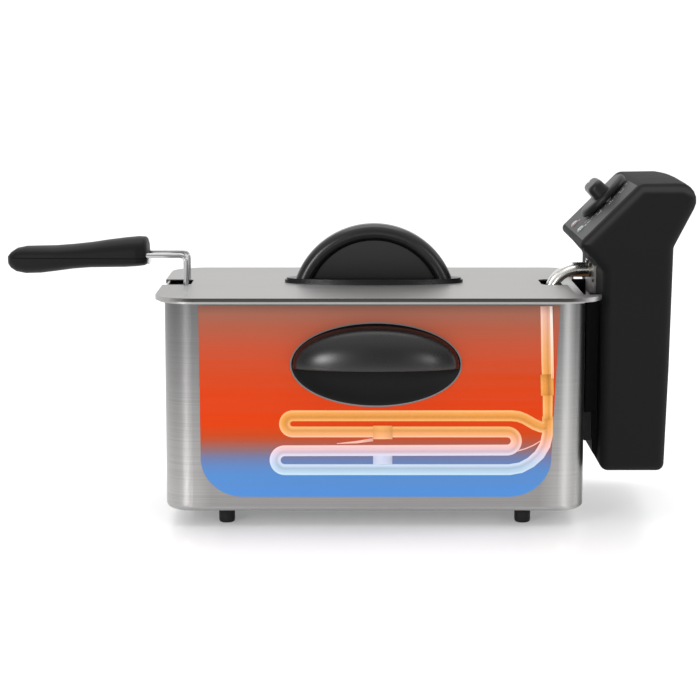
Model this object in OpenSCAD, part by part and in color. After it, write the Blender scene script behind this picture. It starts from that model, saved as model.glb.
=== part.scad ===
// Countertop deep fryer, cold-zone type, with a lift-out control unit.
// Origin: centre of the casing footprint on the surface it stands on.
// +X to the control unit, +Y to the rear, +Z up. Millimetres.

/* [Casing] */
// Length of the outer casing
casing_l = 298; // [296:1:302]
// Width of the outer casing
casing_w = 190; // [190:1:194]
// Height of the casing's top edge above the table
casing_top = 160; // [160:0.5:161]
// Corner radius seen from above
casing_r = 20; // [18:1:24]
// Sheet thickness of the steel casing
sheet = 0.8; // [0.6:0.1:1.0]

/* [Feet] */
// Height of the rubber feet
foot_h = 11.5; // [10:0.5:11.5]
// Diameter of the rubber feet
foot_d = 11.5; // [11:0.5:14]

/* [Oil pot] */
// Outer length of the pot wall
pot_l = 284; // [283:0.5:285]
// Outer width of the pot wall
pot_w = 172; // [170:1:173]
// Height of the pot's floor above the table
pot_floor = 30; // [26:1:34]

/* [Lid] */
// Outer length of the lid
lid_l = 315.9; // [315:0.1:316]
// Outer width of the lid
lid_w = 205; // [203:1:206]
// Height of the top of the lid handle
handle_top = 208; // [204:1:212]

/* [Basket] */
// Length of the basket
basket_l = 250; // [240:1:250]
// Width of the basket
basket_w = 144; // [136:2:146]
// Height of the basket floor
basket_floor = 76; // [76:1:84]

/* [Control unit] */
// Width of the control unit
unit_w = 154; // [150:1:156]
// Diameter of the thermostat knob
knob_d = 42; // [38:1:43]

/* [Hidden] */
$fn = 48;
e = 0.01;

pot_rv = 35;
pot_rb = 24;
rim_l = 306;
rim_w = 198;
lid_x = 2.45;             // the lid reaches a little further on the control side
lid_top = 164.5;
lid_r = 27;
basket_x = -6;
basket_top = 148;
wire_x = -138.3;          // upright wires of the basket handle
wire_y = 14;
wire_r = 1.75;
wire_z = 185.5;
tube_r = 3.25;
tube_y = 10;
tube_z = 58;
riser_x = 130;
unit_h = unit_w/2;
// knob axis: centre on the sloping panel
kx = 171.5;
kz = 226;
grip_x = 0.5;
grip_z = 116.8;
hood_y = 21;

// ---------------------------------------------------------------- helpers
module rrect(x, y, r) {
  square([x - 2*r, y], center = true);
  square([x, y - 2*r], center = true);
  for (i = [-1, 1], j = [-1, 1]) translate([i*(x/2 - r), j*(y/2 - r)]) circle(r = r);
}

module plate(x, y, r, z0, z1) translate([0, 0, z0]) linear_extrude(z1 - z0) rrect(x, y, r);

// half outline of a tub wall with a rounded bottom edge
module tub_edge(w, h, rb) {
  translate([0, rb]) square([w, h - rb]);
  square([w - rb, rb + e]);
  intersection() { translate([w - rb, rb]) circle(r = rb); square([w, h]); }
}
module tub_face(w, h, rb) {
  translate([-w/2, rb]) square([w, h - rb]);
  translate([-(w/2 - rb), 0]) square([w - 2*rb, rb + e]);
  for (s = [-1, 1]) translate([s*(w/2 - rb), rb]) circle(r = rb);
}
// closed block with rounded upright corners (rv) and a rounded bottom edge (rb < rv)
module tub(x, y, z0, z1, rv, rb) {
  h = z1 - z0;
  translate([0, 0, z0]) {
    for (i = [-1, 1], j = [-1, 1]) translate([i*(x/2 - rv), j*(y/2 - rv), 0])
      rotate_extrude() tub_edge(rv, h, rb);
    rotate([90, 0, 0]) linear_extrude(y - 2*rv, center = true) tub_face(x, h, rb);
    rotate([90, 0, 90]) linear_extrude(x - 2*rv, center = true) tub_face(y, h, rb);
  }
}

function unit(v) = v/norm(v);
function cross2(a, b) = a.x*b.y - a.y*b.x;
function at(P, i) = P[(i + len(P)) % len(P)];
function turn(P, i) = cross2(unit(at(P, i) - at(P, i-1)), unit(at(P, i+1) - at(P, i)));
function fillet(a, b, c, r, n) =
  let (u = unit(a - b), w = unit(c - b), ang = acos(u*w), t = r/tan(ang/2),
       cen = b + unit(u + w)*(r/sin(ang/2)), p = b + u*t - cen, q = b + w*t - cen,
       a0 = atan2(p.y, p.x), d = ((atan2(q.y, q.x) - a0 + 900) % 360) - 180)
  [for (i = [0:n]) cen + r*[cos(a0 + d*i/n), sin(a0 + d*i/n)]];
function inset(P, d) = [for (i = [0:len(P)-1])
  let (u = unit(P[i] - at(P, i-1)), w = unit(at(P, i+1) - P[i]),
       nu = [-u.y, u.x], nw = [-w.y, w.x]) P[i] + d*(nu + nw)/(1 + nu*nw)];
function smooth(P, R, d, n = 4) = let (Q = inset(P, d)) [for (i = [0:len(P)-1])
  each fillet(at(Q, i-1), Q[i], at(Q, i+1), turn(P, i) > 0 ? max(R[i] - d, 0.6) : R[i] + d, n)];
function oval(a, b, n = 72) = [for (i = [0:n-1]) [a*cos(360*i/n), b*sin(360*i/n)]];

// side profile of the control unit, X and Z, counter-clockwise
U = [[158, 46], [164.5, 36], [205.2, 36], [207.5, 110], [209.3, 196], [233.6, 242],
     [187.5, 242], [144.2, 198.7], [153.7, 189.4], [161.6, 180.5], [161.6, 78.5], [158, 75]];
UR = [3, 4, 5, 60, 22, 8, 6, 3, 6, 1, 1, 1];
function wall_x(z) = z < 110 ? 205.2 + (z - 36)*2.3/74 : 207.5 + (z - 110)*1.8/86;

module along_y(w) rotate([90, 0, 0]) linear_extrude(w, center = true) children();
module along_x(w) rotate([90, 0, 90]) linear_extrude(w, center = true) children();
module rod(r, x0, x1, y, z) translate([x0, y, z]) rotate([0, 90, 0]) cylinder(r = r, h = x1 - x0);
// bent wire through a list of points
module wire(P, r) {
  for (i = [0:len(P)-2]) let (v = P[i+1] - P[i])
    translate(P[i]) rotate([0, acos(v.z/norm(v)), atan2(v.y, v.x)]) cylinder(r = r, h = norm(v));
  for (i = [1:1:len(P)-2]) translate(P[i]) sphere(r = 1.05*r);
}
// frame whose +Z leaves the sloping panel at the knob's centre
module on_panel() translate([kx, 0, kz]) rotate([0, -45, 0]) children();
// round bar arc: centre c, radius R in the plane given by the rotation, from angle 0 to a
module bend(R, r, a) rotate_extrude(angle = a) translate([R, 0]) circle(r = r);

// ---------------------------------------------------------------- casing
module outer_casing() color([0.74, 0.74, 0.73]) difference() {
  tub(casing_l, casing_w, foot_h, casing_top, casing_r, 4);
  translate([0, 0, 0]) tub(casing_l - 2*sheet, casing_w - 2*sheet, foot_h + sheet, casing_top + 10, casing_r - sheet, 4 - sheet);
  plate(270, 162, 12, 0, foot_h + 5);
  // oval openings for the grips
  translate([grip_x, 0, grip_z]) rotate([90, 0, 0]) linear_extrude(300, center = true) polygon(oval(56.6, 26.2));
  // holes for the guide bracket
  for (y = [-20, 20], z = [100, 140]) rod(2.1, 140, 160, y, z);
  // holes for the bottom plate's screws
  for (x = [-139, 139], y = [-40, 40]) translate([x, y, 0]) cylinder(r = 1.6, h = 20);
}

module bottom_plate() color([0.25, 0.25, 0.26]) difference() {
  plate(288, 180, 16, foot_h + sheet, foot_h + sheet + 1);
  for (x = [-106, 106], y = [-75, 75]) translate([x, y, 0]) cylinder(r = 1.8, h = 30);
  for (x = [-139, 139], y = [-40, 40]) translate([x, y, 0]) cylinder(r = 1.52, h = 30);
  // ventilation slots
  for (x = [-60:15:60]) translate([x, 0, 0]) linear_extrude(30) { square([5, 50], center = true);
    for (s = [-1, 1]) translate([0, s*25]) circle(r = 2.5); }
}

module base_plate_screws() color([0.8, 0.8, 0.8]) for (x = [-139, 139], y = [-40, 40]) translate([x, y, 0]) {
  translate([0, 0, foot_h - 1.6]) cylinder(r = 2.8, h = 1.6);
  translate([0, 0, foot_h - 0.5]) cylinder(r = 1.5, h = 6.5);
}

module rubber_feet() color([0.05, 0.05, 0.05]) for (x = [-106, 106], y = [-75, 75]) translate([x, y, 0]) difference() {
  rotate_extrude() polygon([[0, 0], [foot_d/2 - 1.4, 0], [foot_d/2 - 0.5, 0.5], [foot_d/2 - 0.1, 1.6],
    [foot_d/2, 3], [foot_d/2, foot_h + sheet], [0, foot_h + sheet]]);
  translate([0, 0, -1]) cylinder(r = 1.75, h = 30);
  translate([0, 0, -1]) cylinder(r = 3.2, h = 5);
}

module foot_screws() color([0.8, 0.8, 0.8]) for (x = [-106, 106], y = [-75, 75]) translate([x, y, 0]) {
  translate([0, 0, 2.2]) cylinder(r = 3, h = 1.8);
  translate([0, 0, 3.9]) cylinder(r = 1.5, h = 13);
}

module foot_nuts() color([0.75, 0.75, 0.72]) for (x = [-106, 106], y = [-75, 75]) translate([x, y, foot_h + sheet + 1]) difference() {
  cylinder(r = 3.2, h = 2.4, $fn = 6);
  translate([0, 0, -1]) cylinder(r = 1.52, h = 5);
}

// recessed side grip: oval rim outside, hood over the upper half, shallow finger recess
module side_grip() translate([grip_x, 0, grip_z]) {
  difference() {
    union() {
      // rim against the casing wall
      translate([0, -casing_w/2, 0]) rotate([90, 0, 0]) linear_extrude(1.6) polygon(oval(59.5, 29.15));
      // body through the wall
      translate([0, -casing_w/2 + 7.2, 0]) rotate([90, 0, 0]) linear_extrude(8) polygon(oval(56.2, 25.8));
      // hood
      translate([0, -casing_w/2, 0]) intersection() {
        scale([57, hood_y, 27.5]) sphere(r = 1, $fn = 40);
        translate([-80, -40, -1]) cube([160, 39, 60]);
      }
    }
    // finger recess, open at the front below the hood
    translate([0, -casing_w/2 + 5.8, 0]) rotate([90, 0, 0]) linear_extrude(9.8) intersection() {
      polygon(oval(54, 23.6)); translate([-60, -40]) square([120, 38.9]); }
    translate([0, -casing_w/2, 0]) intersection() {
      scale([54.6, hood_y - 2.4, 25]) sphere(r = 1, $fn = 40);
      translate([-80, -40, -3]) cube([160, 46, 60]);
    }
    translate([0, -casing_w/2 + 5.8, 0]) rotate([90, 0, 0]) linear_extrude(6.2) polygon(oval(52, 22));
  }
}
module front_grip() color([0.1, 0.1, 0.1]) side_grip();
module rear_grip() color([0.1, 0.1, 0.1]) translate([2*grip_x, 0, 0]) rotate([0, 0, 180]) side_grip();

// spring plates that hold the grips from inside the casing
module grip_retainers() color([0.6, 0.6, 0.6]) for (s = [-1, 1])
  translate([grip_x, s*(casing_w/2 - sheet - 0.35), grip_z]) rotate([90, 0, 0]) linear_extrude(0.6, center = true)
    difference() { polygon(oval(61, 31)); polygon(oval(56.3, 25.9)); }

// guide on the control side: rails and the ledge that the control unit stands on
module guide_bracket() color([0.09, 0.09, 0.09]) {
  x0 = casing_l/2;
  difference() {
    translate([x0 + 0.02, -46, 54]) cube([2, 92, 98]);
    for (y = [-20, 20], z = [100, 140]) rod(1.8, x0 - 5, x0 + 9, y, z);
  }
  along_y(96) polygon([[x0 + 0.02, 75], [x0 + 0.02, 57], [x0 + 3.6, 54], [157.6, 54], [157.6, 75]]);
  for (s = [-1, 1]) {
    translate([x0 + 1.9, s*37.5 - 1.5, 74.9]) cube([2.7, 3, 75]);
    translate([x0 + 4.5, s*40 - 4, 88]) cube([2, 8, 62]);
  }
}

module bracket_screws() color([0.8, 0.8, 0.8]) for (y = [-20, 20], z = [100, 140]) {
  rod(3.2, casing_l/2 + 2.05, casing_l/2 + 3.8, y, z);
  rod(1.7, casing_l/2 - 4.5, casing_l/2 + 2.1, y, z);
  difference() {
    translate([casing_l/2 - sheet - 2.2, y, z]) rotate([0, 90, 0]) cylinder(r = 3.4, h = 2.15, $fn = 6);
  }
}

// thin printed film on the front: the cold zone picture, with an opening round the grip
module cool_zone_film() color([0.8, 0.3, 0.1]) translate([0, -casing_w/2 - 0.02, 0]) rotate([90, 0, 0]) linear_extrude(0.3) difference() {
  polygon(concat([[129.5, 158.5], [-124, 158.5], [-123.2, 52]],
    [for (a = [0:10:80]) [-93 - 30.2*cos(a), 50 - 27.8*sin(a)]],
    [[-88, 22.2], [91, 22.2]],
    [for (a = [80:-10:0]) [94 + 30.5*cos(a), 50 - 27.8*sin(a)]]));
  translate([grip_x, grip_z]) polygon(oval(60.2, 29.9));
}

// ---------------------------------------------------------------- oil pot
module oil_pot() color([0.8, 0.8, 0.8]) {
  zr = casing_top + 0.05;
  difference() {
    union() {
      tub(pot_l, pot_w, pot_floor, zr + 0.8, pot_rv, pot_rb);
      difference() { plate(rim_l, rim_w, 24, zr, zr + 0.8); rim_gap(); }
    }
    tub(pot_l - 2*sheet, pot_w - 2*sheet, pot_floor + sheet, zr + 10, pot_rv - sheet, pot_rb - sheet);
  }
  // upstand round the rim, open where the control unit slides past
  difference() {
    plate(rim_l, rim_w, 24, zr, zr + 3.35);
    plate(rim_l - 1.8, rim_w - 1.8, 23.1, zr - 1, zr + 9);
    rim_gap();
  }
}
module rim_gap() translate([casing_l/2 + 1.9, -49, 150]) cube([20, 98, 30]);

// ---------------------------------------------------------------- control unit
// solid of the profile; the upright edges of column and head are rounded
fil = 6.5;
module upright(x0, x1, z0, z1) translate([(x0 + x1)/2, 0, z0]) linear_extrude(z1 - z0) rrect(x1 - x0, unit_w, fil);
module unit_solid() {
  intersection() {
    along_y(unit_w) polygon(smooth(U, UR, 0, 4));
    union() { upright(161.6, 209.4, 30, 190); upright(144.2, 233.6, 189, 250); translate([157, -48, 30]) cube([12, 96, 50]);
      upright(150, 212, 180.2, 189.5); }
  }
}
module unit_cavity(d, w) along_y(w) polygon(smooth(U, UR, d, 4));
module cord_pocket(x0, x1, y, z0, z1) translate([x0, -y, z0]) cube([x1 - x0, 2*y, z1 - z0]);

cover_z0 = 50;
cover_z1 = 186;
cover_y = 64;
posts = [for (y = [-57, 57], z = [57, 179]) [y, z]];

module control_housing() color([0.15, 0.15, 0.15]) {
  difference() {
    unit_solid();
    intersection() {
      unit_cavity(2.6, unit_w - 5.2);
      union() { translate([164.2, -80, 30]) cube([80, 160, 220]); translate([150, -45.4, 30]) cube([20, 90.8, 50]);
        translate([140, -80, 179]) cube([90, 160, 70]); }
    }
    // opening for the rear cover
    translate([195, -cover_y, cover_z0]) cube([30, 2*cover_y, cover_z1 - cover_z0]);
    // panel holes: spindle, two thermostat screws, two lamps
    on_panel() translate([0, 0, -5]) { cylinder(r = 4, h = 12);
      for (y = [-14, 14]) translate([0, y, 0]) cylinder(r = 1.8, h = 12);
      for (y = [-22, 22]) translate([-29, y, 0]) cylinder(r = 2.6, h = 12); }
    // recess for the panel
    on_panel() translate([-30 - 5 + 0.5, -66, -0.6]) cube([55, 132, 3]);
    // tubes, capillaries, plate screws, plunger
    for (s = [-1, 1]) { rod(3.6, 150, 170, s*tube_y, 175); rod(1.6, 150, 170, s*4, 170);
      for (z = [122, 170]) rod(1.5, 150, 170, s*23, z); }
    rod(2.15, 150, 170, -13, 100);
  }
  // posts for the rear cover's screws
  for (p = posts) difference() {
    rod(4, 162.6, wall_x(p[1]) - 2.85, p[0], p[1]);
    rod(1.3, 190, 215, p[0], p[1]);
  }
  // bosses for the neck plate's screws
  for (s = [-1, 1], z = [122, 170]) difference() {
    rod(3.2, 163, 172, s*23, z); rod(1.5, 150, 173, s*23, z);
  }
  // hooks that run behind the rails of the guide
  for (s = [-1, 1]) {
    translate([151.6, s*46.25 - 1.25, 75.3]) cube([11, 2.5, 82.2]);
    translate([151.6, s*43.6 - 3.9, 75.3]) cube([1.4, 7.8, 82.2]);
  }
}

module rear_cover() color([0.12, 0.12, 0.12]) {
  difference() {
    union() {
      intersection() {
        difference() { unit_cavity(0, 2*cover_y); unit_cavity(2.6, 3*cover_y); }
        translate([195, -cover_y + 0.3, cover_z0 + 0.3]) cube([30, 2*cover_y - 0.6, cover_z1 - cover_z0 - 0.6]);
      }
      cord_pocket(178, 205, 36, 60, 124);
    }
    cord_pocket(180, 230, 34, 62, 122);
    rod(5.5, 170, 190, 20, 76);
    rod(3, 195, 220, -45, 150);
    for (p = posts) { rod(1.6, 190, 220, p[0], p[1]); rod(3.1, wall_x(p[1]) - 1.5, 225, p[0], p[1]); }
    // air slots
    for (z = [164, 170, 176]) translate([195, -30, z]) cube([30, 60, 2.4]);
  }
}

module rear_cover_screws() color([0.2, 0.2, 0.2]) for (p = posts) {
  rod(2.8, wall_x(p[1]) - 1.5, wall_x(p[1]) - 0.1, p[0], p[1]);
  rod(1.25, wall_x(p[1]) - 14, wall_x(p[1]) - 1.4, p[0], p[1]);
}

module control_panel() color([0.35, 0.35, 0.35]) on_panel() difference() {
  translate([-34.3, -65.8, -0.55]) cube([54.6, 131.6, 0.75]);
  translate([0, 0, -5]) { cylinder(r = 4, h = 12); for (y = [-14, 14]) translate([0, y, 0]) cylinder(r = 3.6, h = 12);
    for (y = [-22, 22]) translate([-29, y, 0]) cylinder(r = 2.6, h = 12); }
}

module lens() rotate_extrude() polygon(concat([[0, -3.4], [2.5, -3.4], [2.5, 0.25], [3.3, 0.25], [3.3, 0.7]],
  [for (a = [0:15:90]) [3.1*cos(a), 0.8 + 1.2*sin(a)]]));
module power_lens() color([0.75, 0.66, 0.64]) on_panel() translate([-29, 22, 0]) lens();
module heat_lens() color([0.64, 0.74, 0.66]) on_panel() translate([-29, -22, 0]) lens();
module neon_lamps() color([0.9, 0.6, 0.3]) on_panel() for (y = [-22, 22]) translate([-29, y, -12.5]) cylinder(r = 2.2, h = 9);

module neck_plate() color([0.75, 0.75, 0.74]) difference() {
  translate([160, -29, 112]) cube([1.5, 58, 67.6]);
  for (s = [-1, 1]) { rod(3.35, 150, 170, s*tube_y, 175); rod(1.35, 150, 170, s*4, 170);
    for (z = [122, 170]) rod(1.6, 150, 170, s*23, z); }
}

module neck_plate_screws() color([0.8, 0.8, 0.8]) for (s = [-1, 1], z = [122, 170]) {
  rod(2.9, 158.9, 159.95, s*23, z);
  rod(1.4, 159.9, 170.5, s*23, z);
}

// sheathed tube: two risers, four runs joined by three U-turns
module heating_element() color([0.6, 0.6, 0.6]) {
  top = 175;
  for (s = [-1, 1]) {
    // over the rim and into the unit
    rod(tube_r, riser_x + 22, 186, s*tube_y, top);
    translate([riser_x + 22, s*tube_y, top - 22]) rotate([90, 0, 0]) rotate([0, 0, 90]) bend(22, tube_r, 90);
    translate([riser_x, s*tube_y, tube_z + 12]) cylinder(r = tube_r, h = top - 22 - tube_z - 12);
    // foot of the riser, to the outer run
    translate([riser_x, s*(tube_y + 12), tube_z + 12]) rotate([0, 90, 0]) rotate([0, 0, s > 0 ? -90 : 0]) bend(12, tube_r, 90);
    translate([riser_x, s > 0 ? tube_y + 12 : -48, tube_z]) rotate([-90, 0, 0]) cylinder(r = tube_r, h = 48 - tube_y - 12);
    translate([riser_x - 12, s*48, tube_z]) rotate([0, 0, s > 0 ? 0 : -90]) bend(12, tube_r, 90);
    rod(tube_r, -90, riser_x - 12, s*60, tube_z);
    // far turn and inner run
    translate([-90, s*40, tube_z]) rotate([0, 0, 90]) bend(20, tube_r, 180);
    rod(tube_r, -90, 100, s*20, tube_z);
  }
  translate([100, 0, tube_z]) rotate([0, 0, -90]) bend(20, tube_r, 180);
}

module element_collars() color([0.7, 0.6, 0.35]) for (s = [-1, 1]) difference() {
  rod(4.9, 158, 159.95, s*tube_y, 175); rod(tube_r + 0.02, 150, 165, s*tube_y, 175);
}

module element_clip() color([0.7, 0.7, 0.7]) difference() {
  translate([-15.75, -66, 52.5]) cube([1.5, 132, 11]);
  for (y = [-60, -20, 20, 60]) rod(tube_r + 0.05, -20, -10, y, tube_z);
}

module thermostat_body() color([0.85, 0.82, 0.7]) on_panel() difference() {
  translate([-17, -17, -27]) cube([34, 34, 23.6]);
  translate([0, 0, -30]) cylinder(r = 3.05, h = 40);
  for (y = [-14, 14]) translate([0, y, -16]) cylinder(r = 1.55, h = 20);
}

module thermostat_screws() color([0.8, 0.8, 0.8]) on_panel() for (y = [-14, 14]) translate([0, y, 0]) {
  cylinder(r = 3, h = 1.3);
  translate([0, 0, -13]) cylinder(r = 1.5, h = 13.1);
}

// capillary from the unit over the rim, with the bulb lying between the tubes
module sensor(y) {
  rod(1.2, 143, 175, y, 170);
  translate([143, y, 158]) rotate([90, 0, 0]) rotate([0, 0, 90]) bend(12, 1.2, 90);
  translate([131, y, 73.5]) cylinder(r = 1.2, h = 158 - 73.5);
  translate([123, y, 73.5]) rotate([90, 0, 0]) rotate([0, 0, -90]) bend(8, 1.2, 90);
  rod(1.2, 69, 123, y, 65.5);
  rod(2.8, 0, 70, y, 65.5);
}
module thermostat_sensor() color([0.8, 0.65, 0.45]) sensor(4);
module cutout_sensor() color([0.8, 0.65, 0.45]) sensor(-4);

module thermal_cutout() color([0.2, 0.2, 0.22]) difference() {
  rod(9, 184, 205, -45, 150);
  rod(2.6, 191, 206, -45, 150);
}

module safety_switch() color([0.15, 0.15, 0.17]) translate([170.3, -23, 90]) cube([7.1, 20, 20]);

module terminal_block() color([0.9, 0.9, 0.88]) difference() {
  translate([164.4, 6, 94]) cube([13, 44, 16]);
  for (y = [13, 28, 43]) translate([171, y, 99]) cylinder(r = 1.8, h = 20);
}

module internal_leads() color([0.75, 0.3, 0.1]) {
  wire([[171, 13, 101], [171, 13, 150], [191, 10, 168], [191, 10, 175], [186.6, 10, 175]], 1);
  wire([[171, 43, 101], [171, 43, 188], [190, 18, 188], [190, 18, 202]], 1);
  wire([[171, 28, 101], [171, 28, 130], [182, 0, 138], [182, -45, 140.5]], 1);
  wire([[173.4, 20, 76], [167, 20, 76], [167, 20, 93.4]], 1.6);
}

// cord entry in the back of the pocket; its bore takes a round mains cord
module cord_gland() color([0.08, 0.08, 0.08]) difference() {
  union() {
    rod(5.3, 174, 180.2, 20, 76);
    rod(7.5, 180.1, 182.1, 20, 76);
    rod(5, 182, 190, 20, 76);
    rod(7, 175.6, 177.8, 20, 76);
  }
  rod(3.7, 173, 191, 20, 76);
}

// ---------------------------------------------------------------- knob
module thermostat_knob() color([0.16, 0.16, 0.16]) on_panel() difference() {
  union() {
    translate([0, 0, 1.7]) rotate_extrude($fn = 96) polygon([[0, 0], [knob_d/2 - 0.4, 0], [knob_d/2, 0.5],
      [knob_d/2 - 0.2, 3.6], [knob_d/2 - 1.2, 4.8], [0, 5.4]]);
    // paddle grip
    intersection() {
      translate([0, 0, 6]) linear_extrude(11.2) rrect(14, knob_d - 5, 6.5);
      rotate([90, 0, 0]) linear_extrude(knob_d, center = true)
        polygon([[-7, 5], [7, 5], [6.2, 13.2], [5, 15.6], [2.8, 16.9], [-2.8, 16.9], [-5, 15.6], [-6.2, 13.2]]);
    }
  }
  translate([0, 0, -1]) cylinder(r = 3.02, h = 11);
  translate([0, 0, 1]) difference() { cylinder(r = knob_d/2 - 2, h = 3.4); cylinder(r = 5.5, h = 5); }
  on_pointer(0.2);
}
module on_pointer(g) translate([-0.7 - g/2, 9.5 - g, 16.5]) cube([1.4 + g, 6 + 2*g, 1.2]);
module knob_pointer() color([0.95, 0.95, 0.95]) on_panel() translate([-0.7, 9.5, 16.55]) cube([1.4, 6, 0.5]);
module thermostat_spindle() color([0.75, 0.75, 0.75]) on_panel() translate([0, 0, -22]) cylinder(r = 3, h = 31.5);

// ---------------------------------------------------------------- buttons
module rings_x(x, n, p, R, r, y, z) for (i = [0:n-1]) translate([x + i*p, y, z]) rotate([0, 90, 0])
  rotate_extrude($fn = 32) translate([R, 0]) circle(r = r, $fn = 16);
module reset_button() color([0.7, 0.08, 0.06]) { rod(2.5, 198, 209.6, -45, 150); }
module reset_spring() color([0.8, 0.8, 0.8]) rings_x(193.6, 4, 1.2, 1.7, 0.35, -45, 150);
module interlock_plunger() color([0.85, 0.85, 0.85]) {
  rod(2, 151.35, 167, -13, 100);
  rod(3.6, 164.6, 165.8, -13, 100);
}
module plunger_spring() color([0.8, 0.8, 0.8]) rings_x(166.25, 3, 0.85, 2.8, 0.35, -13, 100);

// ---------------------------------------------------------------- basket
module basket_mesh() color([0.8, 0.8, 0.8]) translate([basket_x, 0, 0]) difference() {
  tub(basket_l, basket_w, basket_floor, basket_top, 28, 12);
  tub(basket_l - 2, basket_w - 2, basket_floor + 1, basket_top + 5, 27, 11);
}

// rounded rectangular ring of round wire
module ring_wire(x, y, rv, r) {
  for (s = [-1, 1]) {
    translate([0, s*y/2, 0]) rotate([0, 90, 0]) cylinder(r = r, h = x - 2*rv, center = true);
    translate([s*x/2, 0, 0]) rotate([90, 0, 0]) cylinder(r = r, h = y - 2*rv, center = true);
    for (t = [-1, 1]) translate([s*(x/2 - rv), t*(y/2 - rv), 0])
      rotate([0, 0, s > 0 ? (t > 0 ? 0 : -90) : (t > 0 ? 90 : 180)]) bend(rv, r, 90);
  }
}
module hoop(w, r, z0, z1, rc) {
  for (s = [-1, 1]) {
    translate([0, s*w/2, z0 + rc]) cylinder(r = r, h = z1 - z0 - rc);
    translate([0, s*(w/2 - rc), z0 + rc]) rotate([90, 0, 90]) rotate([0, 0, s > 0 ? -90 : 180]) bend(rc, r, 90);
  }
  translate([0, 0, z0]) rotate([90, 0, 0]) cylinder(r = r, h = w - 2*rc, center = true);
}
module basket_frame() color([0.85, 0.85, 0.85]) translate([basket_x, 0, 0]) {
  translate([0, 0, basket_top]) ring_wire(basket_l + 4.1, basket_w + 4.1, 30, 2);
  for (x = [-60, 60]) translate([x, 0, 0]) hoop(basket_w + 3.6, 1.5, basket_floor - 1.55, basket_top, 14);
}

// cover plate and two sockets on the handle end
module handle_bracket() color([0.82, 0.82, 0.8]) {
  bx = basket_x - basket_l/2;
  difference() {
    union() {
      for (s = [-1, 1]) translate([wire_x, s*wire_y, 110]) cylinder(r = 2.5, h = 34);
      translate([wire_x + 2.1, -wire_y - 3, 112]) cube([1.1, 2*wire_y + 6, 31]);
      for (s = [-1, 1]) translate([wire_x + 3, s*11 - 1.5, 114]) cube([bx - wire_x - 3.02, 3, 20]);
    }
    for (s = [-1, 1]) translate([wire_x, s*wire_y, 111.5]) cylinder(r = 1.95, h = 40);
  }
}

// ---------------------------------------------------------------- basket handle
module handle_wires() color([0.85, 0.85, 0.85]) {
  rb = 4.3;
  for (s = [-1, 1]) translate([0, s*wire_y, 0]) {
    translate([wire_x, 0, 112]) cylinder(r = wire_r, h = wire_z - rb - 112);
    translate([wire_x - rb, 0, wire_z - rb]) rotate([90, 0, 0]) bend(rb, wire_r, 90);
    rod(wire_r, -226, wire_x - rb, 0, wire_z);
  }
  translate([-226, 0, wire_z]) rotate([90, 0, 0]) cylinder(r = wire_r, h = 2*wire_y, center = true);
  for (s = [-1, 1]) translate([-226, s*wire_y, wire_z]) sphere(r = wire_r);
}

// side outline of the grip, X and Z
G = [[-271, 181], [-269.5, 186], [-264, 189.6], [-257, 191], [-235, 191.4], [-222, 192.4], [-209, 194],
     [-196, 196], [-183, 197.6], [-172, 198.4], [-167.5, 198], [-166.8, 194], [-166.8, 178.4],
     [-169, 177.2], [-183, 176.2], [-209, 176], [-222, 175], [-235, 173.2], [-249, 171.6], [-257, 171.4], [-264, 172.6], [-269.5, 176]];
module grip_solid() intersection() {
  along_y(60) polygon(G);
  // plan: rounded bar, wider towards the wires
  translate([0, 0, 150]) linear_extrude(70) polygon(concat(
    [for (a = [180:15:270]) [-257 + 14*cos(a), -2 + 13*sin(a)]], [[-240, -16.6], [-230, -17.6], [-205, -17.8], [-190, -18.6]],
    [for (a = [-90:15:0]) [-175 + 8.2*cos(a), -11.6 + 8*sin(a)]],
    [for (a = [0:15:90]) [-175 + 8.2*cos(a), 11.6 + 8*sin(a)]],
    [[-190, 18.6], [-205, 17.8], [-230, 17.6], [-240, 16.6]], [for (a = [90:15:180]) [-257 + 14*cos(a), 2 + 13*sin(a)]]));
  // cross-section: broad rounded top and bottom
  translate([-220, 0, 185]) along_x(120) rrect(41, 30, 9);
}
split_z = 183.7;
module grip_channels(r) {
  for (s = [-1, 1]) rod(r, -232, -160, s*wire_y, wire_z);
  translate([-226, 0, wire_z]) rotate([90, 0, 0]) cylinder(r = r, h = 2*wire_y + 4, center = true);
  for (s = [-1, 1]) translate([-229, s*wire_y - r, split_z - 5]) cube([80, 2*r, wire_z - split_z + 5]);
  translate([-226 - r, -wire_y - 2, split_z - 5]) cube([2*r, 2*wire_y + 4, wire_z - split_z + 5]);
}
module grip_upper() color([0.12, 0.12, 0.12]) difference() {
  intersection() { grip_solid(); translate([-300, -40, split_z]) cube([200, 80, 60]); }
  grip_channels(1.85);
  for (x = [-242, -190]) translate([x, 0, 160]) cylinder(r = 1.25, h = 30);
}
module grip_lower() color([0.1, 0.1, 0.1]) difference() {
  intersection() { grip_solid(); translate([-300, -40, split_z - 60]) cube([200, 80, 59.95]); }
  for (x = [-242, -190]) translate([x, 0, 150]) { cylinder(r = 1.6, h = 60); cylinder(r = 3.2, h = 28); }
}
module grip_screws() color([0.7, 0.7, 0.7]) for (x = [-242, -190]) translate([x, 0, 0]) {
  translate([0, 0, 176.3]) cylinder(r = 2.8, h = 1.65);
  translate([0, 0, 177.9]) cylinder(r = 1.2, h = 11.5);
}
module grip_ferrule() color([0.85, 0.85, 0.85]) translate([-166.75, -10, 178.8]) cube([1.2, 20, 4.4]);

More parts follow.
